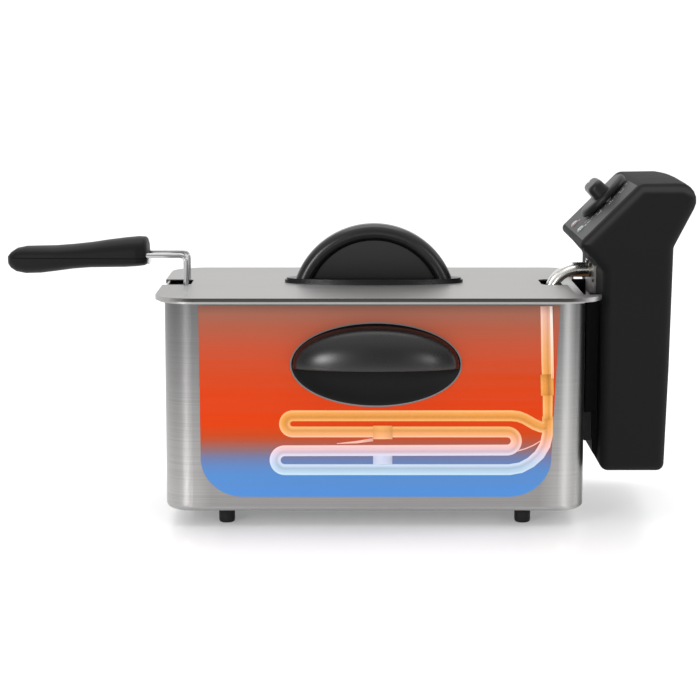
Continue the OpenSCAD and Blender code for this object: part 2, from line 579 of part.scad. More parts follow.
// ---------------------------------------------------------------- lid
module lid_outline(g) translate([lid_x, 0]) rrect(lid_l - 2*g, lid_w - 2*g, lid_r - g);
module lid_slots() {
  translate([-200, -17]) square([200 - 134.5 - 5, 34]);
  translate([-200, -12]) square([200 - 134.5, 24]);
  for (s = [-1, 1]) translate([-139.5, s*12]) circle(r = 5);
  translate([129, -18.5]) square([60, 37]);
  translate([123, -12.5]) square([60, 25]);
  for (s = [-1, 1]) translate([129, s*12.5]) circle(r = 6);
  // recess that lets the lid rise straight past the head of the control unit
  translate([142, -79]) square([40, 158]);
}
module lid_panel() color([0.76, 0.76, 0.75]) difference() {
  translate([0, 0, 161.3]) linear_extrude(lid_top - 161.3) difference() { lid_outline(0); lid_slots(); }
  translate([0, 0, 150]) linear_extrude(lid_top - 0.8 - 150) lid_outline(0.8);
  for (x = [-51, 51]) translate([x, 0, 150]) cylinder(r = 1.8, h = 30);
}

module lid_handle() color([0.13, 0.13, 0.13]) {
  ra = 55.3;
  zc = handle_top - 61.5;
  difference() {
    union() {
      translate([0, 0, lid_top + 0.02]) linear_extrude(2.2) polygon(oval(66, 21));
      translate([0, 0, lid_top + 2.2]) linear_extrude(1.3) polygon(oval(64.6, 19.6));
      intersection() {
        union() {
          translate([0, 0, zc]) rotate([90, 0, 0]) rotate_extrude($fn = 96) {
            for (s = [-1, 1]) translate([ra, s*3.5]) circle(r = 6.2);
            translate([ra - 6.2, -3.5]) square([12.4, 7]);
          }
          translate([0, 0, zc]) rotate([90, 0, 0]) cylinder(r = ra - 4, h = 7, center = true, $fn = 96);
        }
        translate([-80, -40, lid_top + 1]) cube([160, 80, 60]);
      }
    }
    for (x = [-51, 51]) translate([x, 0, 150]) cylinder(r = 1.45, h = 29);
  }
}
module lid_handle_screws() color([0.8, 0.8, 0.8]) for (x = [-51, 51]) translate([x, 0, 0]) {
  translate([0, 0, lid_top - 0.8 - 1.8]) cylinder(r = 3.2, h = 1.75);
  translate([0, 0, lid_top - 0.9]) cylinder(r = 1.4, h = 13);
}

outer_casing();
bottom_plate();
base_plate_screws();
rubber_feet();
foot_screws();
foot_nuts();
front_grip();
rear_grip();
grip_retainers();
guide_bracket();
bracket_screws();
cool_zone_film();
oil_pot();
control_housing();
rear_cover();
rear_cover_screws();
control_panel();
power_lens();
heat_lens();
neon_lamps();
neck_plate();
neck_plate_screws();
heating_element();
element_collars();
element_clip();
thermostat_body();
thermostat_screws();
thermostat_sensor();
cutout_sensor();
thermal_cutout();
safety_switch();
terminal_block();
internal_leads();
cord_gland();
thermostat_knob();
knob_pointer();
thermostat_spindle();
reset_button();
reset_spring();
interlock_plunger();
plunger_spring();
basket_mesh();
basket_frame();
handle_bracket();
handle_wires();
grip_upper();
grip_lower();
grip_screws();
grip_ferrule();
lid_panel();
lid_handle();
lid_handle_screws();
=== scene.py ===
# Deep fryer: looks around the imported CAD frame. Metres, row frame.
import bpy, bmesh, math
from mathutils import Vector, Matrix


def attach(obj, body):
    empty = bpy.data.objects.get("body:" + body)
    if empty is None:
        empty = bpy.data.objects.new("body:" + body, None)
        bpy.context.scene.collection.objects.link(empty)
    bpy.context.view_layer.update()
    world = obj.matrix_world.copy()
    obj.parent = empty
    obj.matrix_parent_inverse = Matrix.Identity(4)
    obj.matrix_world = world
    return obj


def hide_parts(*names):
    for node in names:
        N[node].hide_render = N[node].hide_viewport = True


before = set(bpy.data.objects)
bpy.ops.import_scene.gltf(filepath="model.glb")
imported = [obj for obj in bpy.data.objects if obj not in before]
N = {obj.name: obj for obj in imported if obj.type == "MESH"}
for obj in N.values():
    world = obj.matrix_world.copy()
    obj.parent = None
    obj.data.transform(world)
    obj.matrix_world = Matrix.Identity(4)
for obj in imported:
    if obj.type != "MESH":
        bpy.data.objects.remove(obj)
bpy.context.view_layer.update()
scene = bpy.context.scene
scene.view_settings.view_transform = "Standard"
scene.view_settings.look = "None"


# ------------------------------------------------------------------ helpers
def lin(c):
    return tuple((v / 12.92 if v <= 0.04045 else ((v + 0.055) / 1.055) ** 2.4) for v in [q / 255.0 for q in c])


def rgb(*c):
    return lin(c) + (1.0,)


class Mat:
    """A node material with object coordinates at hand."""

    def __init__(self, name, rough=0.5, metal=0.0, spec=0.5, coat=0.0):
        self.m = bpy.data.materials.new(name)
        self.m.use_nodes = True
        self.t = self.m.node_tree
        self.n = self.t.nodes
        self.b = self.n["Principled BSDF"]
        self.b.inputs["Roughness"].default_value = rough
        self.b.inputs["Metallic"].default_value = metal
        self.b.inputs["Specular IOR Level"].default_value = spec
        self.b.inputs["Coat Weight"].default_value = coat
        self.co = self.n.new("ShaderNodeTexCoord").outputs["Object"]

    def link(self, a, b):
        self.t.links.new(a, b)

    def mapped(self, scale):
        k = self.n.new("ShaderNodeMapping")
        k.inputs["Scale"].default_value = scale
        self.link(self.co, k.inputs["Vector"])
        return k.outputs[0]

    def noise(self, scale, detail=4.0, rough=0.6, vec=None, size=1.0):
        k = self.n.new("ShaderNodeTexNoise")
        k.inputs["Scale"].default_value = size
        k.inputs["Detail"].default_value = detail
        k.inputs["Roughness"].default_value = rough
        self.link(vec if vec is not None else self.mapped(scale), k.inputs["Vector"])
        return k.outputs["Fac"]

    def ramp(self, fac, stops, mode="LINEAR"):
        k = self.n.new("ShaderNodeValToRGB")
        k.color_ramp.interpolation = mode
        e = k.color_ramp.elements
        while len(e) < len(stops):
            e.new(0.5)
        for q, (p, c) in zip(e, stops):
            q.position = p
        for q, (p, c) in zip(e, stops):
            q.position = p
            q.color = c
        self.link(fac, k.inputs["Fac"])
        return k.outputs["Color"]

    def span(self, fac, a, b, c, d):
        k = self.n.new("ShaderNodeMapRange")
        for i, v in zip(("From Min", "From Max", "To Min", "To Max"), (a, b, c, d)):
            k.inputs[i].default_value = v
        self.link(fac, k.inputs["Value"])
        return k.outputs[0]

    def math(self, op, a, b=0.0):
        k = self.n.new("ShaderNodeMath")
        k.operation = op
        for i, v in enumerate((a, b)):
            if hasattr(v, "is_linked"):
                self.link(v, k.inputs[i])
            else:
                k.inputs[i].default_value = v
        return k.outputs[0]

    def mix(self, fac, a, b, kind="MIX"):
        k = self.n.new("ShaderNodeMix")
        k.data_type = "RGBA"
        k.blend_type = kind
        for i, v in ((0, fac), (6, a), (7, b)):
            if hasattr(v, "is_linked"):
                self.link(v, k.inputs[i])
            else:
                k.inputs[i].default_value = v
        return k.outputs[2]

    def xyz(self, vec=None):
        k = self.n.new("ShaderNodeSeparateXYZ")
        self.link(vec if vec is not None else self.co, k.inputs[0])
        return k.outputs

    def bump(self, height, strength=0.2, dist=0.0002):
        k = self.n.new("ShaderNodeBump")
        k.inputs["Strength"].default_value = strength
        k.inputs["Distance"].default_value = dist
        self.link(height, k.inputs["Height"])
        self.link(k.outputs[0], self.b.inputs["Normal"])

    def color(self, c):
        if hasattr(c, "is_linked"):
            self.link(c, self.b.inputs["Base Color"])
        else:
            self.b.inputs["Base Color"].default_value = c

    def rough(self, r):
        self.link(r, self.b.inputs["Roughness"])


def brushed(name, base, rough, scale, vary=0.05, bump=0.12, aniso=0.0):
    """Brushed sheet: long fine lines along the small component of scale."""
    k = Mat(name, rough, 1.0)
    a = k.noise(scale, 3.0, 0.7)
    w = k.noise((9, 9, 9), 3.0, 0.5)
    lo = tuple(v * (1 - vary) for v in base[:3]) + (1,)
    hi = tuple(min(1, v * (1 + vary)) for v in base[:3]) + (1,)
    c = k.ramp(a, [(0.3, lo), (0.7, hi)])
    c2 = k.mix(k.span(w, 0.3, 0.7, 0.0, 0.10), c, tuple(v * 0.86 for v in base[:3]) + (1,))
    k.color(c2)
    k.rough(k.span(a, 0.3, 0.7, rough - 0.05, rough + 0.07))
    k.bump(a, bump, 0.00005)
    if aniso:
        k.b.inputs["Anisotropic"].default_value = aniso
    return k.m


def moulded(name, base, rough, grain=900.0, bump=0.12, vary=0.12, spec=0.5, scuff=0.3, dist=0.0001):
    """Moulded plastic: fine grain, faint cloudiness and rubbed patches."""
    k = Mat(name, rough, 0.0, spec)
    g = k.noise((grain, grain, grain), 2.0, 0.6)
    w = k.noise((14, 14, 14), 4.0, 0.55)
    lo = tuple(v * (1 - vary) for v in base[:3]) + (1,)
    hi = tuple(v * (1 + vary) for v in base[:3]) + (1,)
    k.color(k.ramp(w, [(0.3, lo), (0.7, hi)]))
    r = k.math("ADD", k.span(w, 0.35, 0.75, rough - 0.05 * scuff, rough + 0.12 * scuff), k.span(g, 0.2, 0.8, -0.03, 0.03))
    k.rough(r)
    k.bump(g, bump, dist)
    return k.m


def plain_metal(name, base, rough, metal=1.0, stain=None):
    k = Mat(name, rough, metal)
    w = k.noise((60, 60, 60), 4.0, 0.6)
    f = k.noise((700, 700, 700), 2.0, 0.6)
    lo = tuple(v * 0.88 for v in base[:3]) + (1,)
    k.color(k.ramp(w, [(0.3, lo if stain is None else stain), (0.7, base)]))
    k.rough(k.span(f, 0.25, 0.75, rough - 0.04, rough + 0.06))
    k.bump(f, 0.05, 0.00005)
    return k.m


def glassy(name, base, rough=0.08):
    k = Mat(name, rough, 0.0, 0.6, 0.5)
    w = k.noise((500, 500, 500), 2.0, 0.5)
    k.color(k.ramp(w, [(0.3, tuple(v * 0.8 for v in base[:3]) + (1,)), (0.7, base)]))
    k.b.inputs["Transmission Weight"].default_value = 0.35
    k.rough(k.span(w, 0.3, 0.7, rough, rough + 0.08))
    return k.m




def casing_steel():
    """Fine horizontal brushing, with painted shade and highlights on the outer front: painted shade darkens it towards
    the top, where the lid shades it, and across its flat middle, and a painted dark reflection and a painted highlight
    run down the right-hand corner.
    """
    k = Mat("steel_casing", 0.36, 1.0)
    a = k.noise((4, 4, 1500), 3.0, 0.7)
    w = k.noise((9, 9, 9), 3.0, 0.5)
    z = k.xyz()[2]
    c = k.ramp(a, [(0.3, rgb(166, 165, 164)), (0.7, rgb(184, 183, 182))])
    c = k.mix(k.span(w, 0.3, 0.7, 0.0, 0.10), c, rgb(160, 159, 158))
    x, y = k.xyz()[0], k.xyz()[1]
    nt = k.n.new("ShaderNodeTexCoord").outputs["Normal"]
    nn = k.xyz(nt)
    # the painted shade and highlights below touch the outer front only: the inside and the other sides keep the plain
    # sheet
    outer = k.math("MULTIPLY", k.span(y, -0.06, -0.03, 1.0, 0.0), k.span(nn[1], -0.25, -0.05, 1.0, 0.0))
    # painted shade: the outer front is painted darker towards the top, under the lid
    c = k.mix(k.math("MULTIPLY", k.span(z, 0.02, 0.155, 0.0, 0.76), outer), c, rgb(80, 80, 81))
    # painted shade: the flat middle of the outer front is painted darker
    front = k.span(k.math("ABSOLUTE", nn[1]), 0.97, 0.999, 0.0, 1.0)
    painted_shade_middle = k.span(k.math("ABSOLUTE", x), 0.116, 0.128, 0.34, 0.0)
    c = k.mix(k.math("MULTIPLY", k.math("MULTIPLY", front, painted_shade_middle), outer), c, rgb(96, 95, 94))
    # painted dark reflection down the right-hand corner of the front
    far = k.math("MULTIPLY", k.span(nn[0], 0.62, 0.88, 0.0, 0.75), k.span(nn[0], 0.93, 0.985, 1.0, 0.0))
    c = k.mix(k.math("MULTIPLY", far, outer), c, rgb(66, 66, 67))
    # painted highlight down the right-hand corner of the front
    painted_corner_highlight = k.math("MULTIPLY", k.span(nn[0], 0.05, 0.30, 0.0, 1.0), k.span(nn[0], 0.34, 0.60, 1.0, 0.0))
    c = k.mix(k.math("MULTIPLY", k.math("MULTIPLY", painted_corner_highlight, outer), 0.4), c, rgb(236, 236, 235))
    # the inside is dull, unpolished sheet
    face = k.math("ADD", k.math("MULTIPLY", x, nn[0]), k.math("MULTIPLY", y, nn[1]))
    dull = k.span(face, -0.05, -0.02, 1.0, 0.0)
    k.color(k.mix(dull, c, rgb(186, 185, 183)))
    k.link(k.span(dull, 0.0, 1.0, 1.0, 0.2), k.b.inputs["Metallic"])
    k.rough(k.math("ADD", k.span(a, 0.3, 0.7, 0.30, 0.42), k.math("MULTIPLY", dull, 0.2)))
    k.bump(a, 0.10, 0.00005)
    return k.m


def lid_steel():
    """Brushed sheet whose long upright edges carry a painted dark reflection above a thin bright bead."""
    k = Mat("steel_lid", 0.34, 1.0)
    a = k.noise((6, 1500, 1500), 3.0, 0.7)
    w = k.noise((9, 9, 9), 3.0, 0.5)
    c = k.ramp(a, [(0.3, rgb(158, 157, 156)), (0.7, rgb(178, 177, 176))])
    c = k.mix(k.span(w, 0.3, 0.7, 0.0, 0.12), c, rgb(146, 145, 144))
    nt = k.n.new("ShaderNodeTexCoord").outputs["Normal"]
    ny = k.math("ABSOLUTE", k.xyz(nt)[1])
    side = k.span(ny, 0.80, 0.985, 0.0, 1.0)
    z = k.xyz()[2]
    high = k.span(z, 0.16185, 0.16215, 0.0, 1.0)
    # painted dark reflection on the upright edges above the bead
    k.color(k.mix(k.math("MULTIPLY", side, high), c, rgb(70, 69, 67)))
    k.rough(k.span(a, 0.3, 0.7, 0.36, 0.47))
    k.bump(a, 0.08, 0.00005)
    return k.m


def guide_plastic():
    """Black moulding; the ledge at its foot is painted paler, painted light lifting it out of shade."""
    k = Mat("guide_plastic", 0.55, 0.0, 0.25)
    g = k.noise((1100, 1100, 1100), 2.0, 0.6)
    w = k.noise((14, 14, 14), 4.0, 0.55)
    c = k.ramp(w, [(0.3, rgb(19, 19, 20)), (0.7, rgb(22, 22, 23))])
    # painted light: the ledge below about 75 mm is painted paler
    c = k.mix(k.span(k.xyz()[2], 0.0745, 0.0755, 1.0, 0.0), c, rgb(44, 44, 45))
    k.color(c)
    k.rough(k.span(g, 0.2, 0.8, 0.50, 0.60))
    k.bump(g, 0.18, 0.0001)
    return k.m


def reopened(m):
    """The helper again, round a material that is already made."""
    k = Mat.__new__(Mat)
    k.m, k.t, k.n = m, m.node_tree, m.node_tree.nodes
    k.b = k.n["Principled BSDF"]
    k.co = k.n.new("ShaderNodeTexCoord").outputs["Object"]
    return k


def hood_plastic():
    """Glossy black moulding, dull near the sheet, where fingers don't polish it."""
    m = moulded("hood_plastic", rgb(13, 13, 14), 0.28, 1800, 0.06, 0.06, 0.56, 0.3)
    k = reopened(m)
    low = k.span(k.math("ABSOLUTE", k.xyz()[1]), 0.0965, 0.0995, 1.0, 0.0)
    low = k.math("MULTIPLY", low, k.span(k.xyz()[2], 0.1138, 0.1198, 0.7, 1.0))
    r = k.b.inputs["Roughness"].links[0].from_socket
    k.rough(k.math("ADD", r, k.math("MULTIPLY", low, 0.45)))
    k.link(k.span(low, 0.0, 1.0, 0.56, 0.06), k.b.inputs["Specular IOR Level"])
    return m


def housing_plastic():
    """Black moulding with a painted highlight along its long upper edges and painted shade on its flat top."""
    m = moulded("housing_plastic", rgb(25, 25, 26), 0.60, 1400, 0.14, 0.06, 0.09, 0.3)
    k = reopened(m)
    c = k.b.inputs["Base Color"].links[0].from_socket
    nn = k.xyz(k.n.new("ShaderNodeTexCoord").outputs["Normal"])
    ny = k.math("ABSOLUTE", nn[1])
    edge = k.math("MULTIPLY", k.span(ny, 0.45, 0.72, 0.0, 1.0), k.span(ny, 0.86, 0.97, 1.0, 0.0))
    up = k.math("MULTIPLY", k.span(nn[2], 0.2, 0.45, 0.0, 0.75), k.span(k.xyz()[2], 0.185, 0.2, 0.0, 1.0))
    # painted highlight: the long upper edges are painted paler
    c = k.mix(k.math("MULTIPLY", edge, up), c, rgb(58, 58, 59))
    # painted shade: the flat top is painted darker
    k.color(k.mix(k.span(nn[2], 0.72, 0.95, 0.0, 0.9), c, rgb(10, 10, 11)))
    return m


MATS = {}
MATS["casing"] = casing_steel()
MATS["lid"] = lid_steel()
MATS["pot"] = brushed("steel_pot", rgb(180, 179, 178), 0.34, (6, 6, 900), 0.05, 0.08)
MATS["base"] = plain_metal("base_sheet", rgb(120, 121, 122), 0.5, 0.7)
MATS["screw"] = plain_metal("screw_steel", rgb(160, 160, 159), 0.34)
MATS["chrome"] = plain_metal("chrome_wire", rgb(184, 184, 184), 0.17)
MATS["element"] = plain_metal("element_sheath", rgb(232, 231, 229), 0.24, 1.0, rgb(214, 211, 205))
MATS["brass"] = plain_metal("brass_collar", rgb(196, 190, 176), 0.3)
MATS["copper"] = plain_metal("copper_capillary", rgb(205, 150, 115), 0.3)
MATS["foot"] = moulded("foot_rubber", rgb(20, 20, 20), 0.62, 1500, 0.2, 0.15, 0.3)
MATS["housing"] = housing_plastic()
MATS["guide"] = guide_plastic()
MATS["cover"] = moulded("cover_plastic", rgb(24, 24, 25), 0.58, 1200, 0.2, 0.1, 0.18, 0.3)
MATS["grip"] = moulded("grip_plastic", rgb(21, 21, 22), 0.50, 1800, 0.08, 0.06, 0.13, 0.4)
MATS["hood"] = hood_plastic()
MATS["handle"] = moulded("handle_plastic", rgb(14, 14, 15), 0.30, 1800, 0.06, 0.06, 0.50, 0.3)
MATS["knob"] = moulded("knob_plastic", rgb(22, 22, 23), 0.38, 1500, 0.12, 0.08, 0.3)
MATS["panel"] = moulded("panel_print", rgb(54, 54, 55), 0.5, 2200, 0.08, 0.05, 0.3)
MATS["cream"] = moulded("phenolic", rgb(200, 190, 165), 0.5, 900, 0.15)
MATS["white_plastic"] = moulded("white_plastic", rgb(215, 214, 208), 0.45, 900, 0.12)
MATS["lead"] = moulded("silicone_lead", rgb(165, 62, 40), 0.55, 900, 0.15)
MATS["print"] = moulded("white_print", rgb(226, 226, 224), 0.5, 2500, 0.04, 0.04)
MATS["reset"] = moulded("red_plastic", rgb(165, 30, 24), 0.35, 1500, 0.08, 0.08)
MATS["switch"] = moulded("switch_plastic", rgb(30, 30, 34), 0.45, 900, 0.15)
MATS["red_lens"] = glassy("lens_warm", rgb(214, 196, 192))
MATS["green_lens"] = glassy("lens_cool", rgb(196, 210, 200))
MATS["neon"] = glassy("neon_glass", rgb(225, 190, 160))

NODE_MAT = dict(
    outer_casing="casing", bottom_plate="base", base_plate_screws="screw", rubber_feet="foot", foot_screws="screw",
    foot_nuts="screw", front_grip="hood", rear_grip="hood", grip_retainers="screw", guide_bracket="guide",
    bracket_screws="screw", cool_zone_film="print", oil_pot="pot", control_housing="housing", rear_cover="cover",
    rear_cover_screws="screw", control_panel="panel", power_lens="red_lens", heat_lens="green_lens",
    neon_lamps="neon", neck_plate="pot", neck_plate_screws="screw", heating_element="element",
    element_collars="brass", element_clip="pot", thermostat_body="cream", thermostat_screws="screw",
    thermostat_sensor="copper", cutout_sensor="copper", thermal_cutout="switch", safety_switch="switch",
    terminal_block="white_plastic", internal_leads="lead", cord_gland="foot", thermostat_knob="knob",
    knob_pointer="print", thermostat_spindle="screw", reset_button="reset", reset_spring="screw",
    interlock_plunger="white_plastic", plunger_spring="screw", basket_mesh="chrome", basket_frame="chrome",
    handle_bracket="chrome", handle_wires="chrome", grip_upper="grip", grip_lower="grip", grip_screws="screw",
    grip_ferrule="chrome", lid_panel="lid", lid_handle="handle", lid_handle_screws="screw")
for name, o in N.items():
    m = MATS[NODE_MAT[name]]
    if not o.material_slots:
        o.data.materials.append(m)
    for s in o.material_slots:
        s.link = "OBJECT"
        s.material = m


def piece(name, verts, faces, body, mat, smooth=True, replaces=(), mats=None, face_mats=None, angle=None):
    me = bpy.data.meshes.new(name)
    me.from_pydata([tuple(v) for v in verts], [], faces)
    bm = bmesh.new()
    bm.from_mesh(me)
    bmesh.ops.remove_doubles(bm, verts=bm.verts, dist=1e-7)
    bmesh.ops.recalc_face_normals(bm, faces=bm.faces)
    bm.to_mesh(me)
    bm.free()
    for m in (mats or [mat]):
        me.materials.append(MATS[m])
    if face_mats and len(face_mats) == len(me.polygons):
        me.polygons.foreach_set("material_index", face_mats)
    o = bpy.data.objects.new(name, me)
    scene.collection.objects.link(o)
    if smooth:
        me.polygons.foreach_set("use_smooth", [True] * len(me.polygons))
        if angle is not None:
            for e in me.edges:
                pass
            me.set_sharp_from_angle(angle=math.radians(angle))
    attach(o, body)
    if replaces:
        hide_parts(*replaces)
    return o


def loft(rings, cap=True, closed=True):
    """Vertices and faces through equal rings of points."""
    n = len(rings[0])
    v = [p for r in rings for p in r]
    f = []
    for k in range(len(rings) - 1):
        for i in range(n if closed else n - 1):
            j = (i + 1) % n
            f.append((k * n + i, k * n + j, (k + 1) * n + j, (k + 1) * n + i))
    if cap:
        f.append(tuple(range(n))[::-1])
        f.append(tuple((len(rings) - 1) * n + i for i in range(n)))
    return v, f


def tube(path, r, seg=8, cap=True):
    """Round wire along a list of points (mm in, metres out)."""
    P = [Vector(p) for p in path]
    rings = []
    t0 = (P[1] - P[0]).normalized()
    up = Vector((0, 0, 1)) if abs(t0.z) < 0.9 else Vector((1, 0, 0))
    nrm = (up - t0 * up.dot(t0)).normalized()
    for i, p in enumerate(P):
        if i == 0:
            t = t0
        elif i == len(P) - 1:
            t = (P[i] - P[i - 1]).normalized()
        else:
            t = ((P[i + 1] - P[i]).normalized() + (P[i] - P[i - 1]).normalized()).normalized()
        nrm = (nrm - t * nrm.dot(t)).normalized()
        b = t.cross(nrm)
        rings.append([(p + nrm * (r * math.cos(2 * math.pi * k / seg)) + b * (r * math.sin(2 * math.pi * k / seg))) * 0.001 for k in range(seg)])
    return loft(rings, cap)


def join(parts):
    V, F = [], []
    for v, f in parts:
        o = len(V)
        V += list(v)
        F += [tuple(i + o for i in q) for q in f]
    return V, F


# ------------------------------------------------------------------ front picture film
PICT = [  # height in mm, colour of the print
    (158.5, (135, 89, 76)), (152.8, (161, 100, 81)), (141.5, (177, 89, 65)), (130.2, (191, 83, 55)),
    (118.8, (202, 75, 40)), (107.4, (208, 69, 26)), (96.0, (216, 65, 18)), (84.6, (220, 63, 10)),
    (73.2, (220, 64, 7)), (67.5, (207, 70, 18)), (61.7, (181, 85, 60)), (56.0, (143, 107, 111)),
    (50.2, (111, 124, 166)), (44.5, (96, 135, 194)), (38.7, (87, 142, 207)), (22.2, (84, 146, 220))]
Z0, Z1 = 22.2, 158.5
GAIN = 0.98


def pict_mat():
    k = Mat("zone_print", 0.46, 0.0, 0.06)
    z = k.xyz()[2]
    f = k.span(z, Z0 / 1000, Z1 / 1000, 0, 1)
    stops = [((h - Z0) / (Z1 - Z0), tuple(min(1, GAIN * v) for v in lin(c)) + (1,)) for h, c in reversed(PICT)]
    c = k.ramp(f, stops)
    w = k.noise((3, 3, 260), 3.0, 0.6)
    d = k.noise((2600, 2600, 2600), 2.0, 0.6)
    c = k.mix(k.span(w, 0.35, 0.65, 0.0, 0.07), c, rgb(150, 110, 95))
    k.color(c)
    k.rough(k.span(d, 0.3, 0.7, 0.38, 0.46))
    k.bump(d, 0.05, 0.00003)
    return k.m


MATS["zone"] = pict_mat()


def ghost_mat():
    k = Mat("zone_ghost_print", 0.42, 0.0, 0.08)
    a = k.n.new("ShaderNodeAttribute")
    a.attribute_name = "Tint"
    d = k.noise((900, 900, 900), 2.0, 0.6)
    k.color(k.mix(k.span(d, 0.3, 0.7, 0.0, 0.06), a.outputs["Color"], rgb(235, 225, 215)))
    k.rough(k.span(d, 0.3, 0.7, 0.36, 0.44))
    return k.m


MATS["ghost"] = ghost_mat()


def film_outline():
    p = [(129.5, 158.5), (-124, 158.5), (-123.2, 52)]
    p += [(-93 - 30.2 * math.cos(math.radians(a)), 50 - 27.8 * math.sin(math.radians(a))) for a in range(0, 90, 5)]
    p += [(-88, 22.2), (91, 22.2)]
    p += [(94 + 30.5 * math.cos(math.radians(a)), 50 - 27.8 * math.sin(math.radians(a))) for a in range(85, -1, -5)]
    return p


def film():
    """Thin sheet with an oval opening, front face at Y = -95.32 mm."""
    bm = bmesh.new()
    yb, yf = -0.09502, -0.09532
    out = [bm.verts.new((x / 1000, yf, z / 1000)) for x, z in film_outline()]
    oval = [bm.verts.new(((0.5 + 60.5 * math.cos(2 * math.pi * i / 120)) / 1000, yf, (116.8 + 30.2 * math.sin(2 * math.pi * i / 120)) / 1000)) for i in range(120)]
    edges = [bm.edges.new((out[i], out[(i + 1) % len(out)])) for i in range(len(out))]
    edges += [bm.edges.new((oval[i], oval[(i + 1) % 120])) for i in range(120)]
    bmesh.ops.triangle_fill(bm, edges=edges, use_beauty=True)
    r = bmesh.ops.extrude_face_region(bm, geom=bm.faces[:])
    bmesh.ops.translate(bm, verts=[g for g in r["geom"] if isinstance(g, bmesh.types.BMVert)], vec=(0, yb - yf, 0))
    bmesh.ops.recalc_face_normals(bm, faces=bm.faces)
    me = bpy.data.meshes.new("zone_film")
    bm.to_mesh(me)
    bm.free()
    me.materials.append(MATS["zone"])
    o = bpy.data.objects.new("zone_film", me)
    scene.collection.objects.link(o)
    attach(o, "casing")
    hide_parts("cool_zone_film")
    return o


film()


def lerp_stops(stops, v):
    stops = sorted(stops)
    if v <= stops[0][0]:
        return stops[0][1]
    for (a, ca), (b, cb) in zip(stops, stops[1:]):
        if v <= b:
            t = (v - a) / (b - a)
            return tuple(x + (y - x) * t for x, y in zip(ca, cb))
    return stops[-1][1]


GHOST = [(84.6, (246, 168, 84)), (81.0, (236, 156, 66)), (77.5, (232, 152, 60)), (70.5, (240, 164, 84)), (66.0, (247, 170, 118)),
         (60.5, (250, 186, 168)), (56.5, (232, 196, 204)), (52.5, (216, 208, 230)), (46.0, (192, 212, 236)), (40.5, (182, 210, 232)), (37.5, (186, 228, 242)),
         (95, (230, 152, 62)), (110, (232, 156, 74)), (128, (234, 164, 104)), (145, (234, 174, 142)), (158, (228, 180, 164))]


def path_points(cmds):
    """cmds: ('L', x, z) or ('A', cx, cz, r, a0, a1) in mm and degrees."""
    pts = []
    for c in cmds:
        if c[0] == "L":
            if pts:
                x0, z0 = pts[-1]
                n = max(1, int(math.hypot(c[1] - x0, c[2] - z0) / 6))
                for i in range(1, n + 1):
                    pts.append((x0 + (c[1] - x0) * i / n, z0 + (c[2] - z0) * i / n))
            else:
                pts.append((c[1], c[2]))
        else:
            _, cx, cz, r, a0, a1 = c
            n = max(4, int(abs(a1 - a0) / 9))
            for i in range(n + 1):
                a = math.radians(a0 + (a1 - a0) * i / n)
                p = (cx + r * math.cos(a), cz + r * math.sin(a))
                if not pts or math.hypot(p[0] - pts[-1][0], p[1] - pts[-1][1]) > 0.05:
                    pts.append(p)
    return pts


def ribbon(name, pts, half, y=-95.34, h=0.5, edge=0.38, core=0.10, tint=None, widths=None, side=1):
    """Low relief strip that reads as a glassy tube; the tint is stored on its vertices."""
    prof = [-1, -0.93, -0.78, -0.55, -0.3, -0.05, 0.2, 0.45, 0.68, 0.86, 0.95, 1]
    V, F, C = [], [], []
    n = len(prof)
    for i, p in enumerate(pts):
        a = pts[max(0, i - 1)]
        b = pts[min(len(pts) - 1, i + 1)]
        d = Vector((b[0] - a[0], b[1] - a[1])).normalized()
        w = half if widths is None else widths(i / (len(pts) - 1))
        for t in prof:
            x = p[0] - d.y * w * t * side
            z = p[1] + d.x * w * t * side
            V.append((x / 1000, (y - h * math.sqrt(max(0, 1 - t * t)) - 0.02) / 1000, z / 1000))
            c = tint(x, z) if tint else lerp_stops(GHOST, z)
            # light rims and one soft dark line inside
            e = edge * (math.exp(-((abs(t) - 0.8) / 0.16) ** 2))
            k = core * math.exp(-((t - 0.22) / 0.28) ** 2)
            c = tuple(v + (255 - v) * e * 0.75 for v in c)
            c = tuple(v * (1 - k) for v in c)
            C.append(lin(c) + (1.0,))
    for i in range(len(pts) - 1):
        for j in range(n - 1):
            F.append((i * n + j, i * n + j + 1, (i + 1) * n + j + 1, (i + 1) * n + j))
    # flat back, so that the strip is a closed body
    o = len(V)
    for i in range(len(pts)):
        for j in (0, n - 1):
            q = V[i * n + j]
            V.append((q[0], (y + 0.02) / 1000, q[2]))
            C.append(C[i * n + j])
    for i in range(len(pts) - 1):
        F.append((o + 2 * i + 1, o + 2 * i, o + 2 * i + 2, o + 2 * i + 3))
        F.append((i * n, (i + 1) * n, o + 2 * i + 2, o + 2 * i))
        F.append(((i + 1) * n + n - 1, i * n + n - 1, o + 2 * i + 1, o + 2 * i + 3))
    for i, r in ((0, 1), (len(pts) - 1, -1)):
        F.append(tuple([i * n + j for j in range(n)] + [o + 2 * i + 1, o + 2 * i])[::r])
    me = bpy.data.meshes.new(name)
    me.from_pydata(V, [], F)
    at = me.color_attributes.new("Tint", "FLOAT_COLOR", "POINT")
    for i, c in enumerate(C):
        at.data[i].color = c
    bm = bmesh.new()
    bm.from_mesh(me)
    bmesh.ops.recalc_face_normals(bm, faces=bm.faces)
    bm.to_mesh(me)
    bm.free()
    me.polygons.foreach_set("use_smooth", [True] * len(me.polygons))
    me.materials.append(MATS["ghost"])
    ob = bpy.data.objects.new(name, me)
    scene.collection.objects.link(ob)
    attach(ob, "casing")
    return ob


HW = 3.95
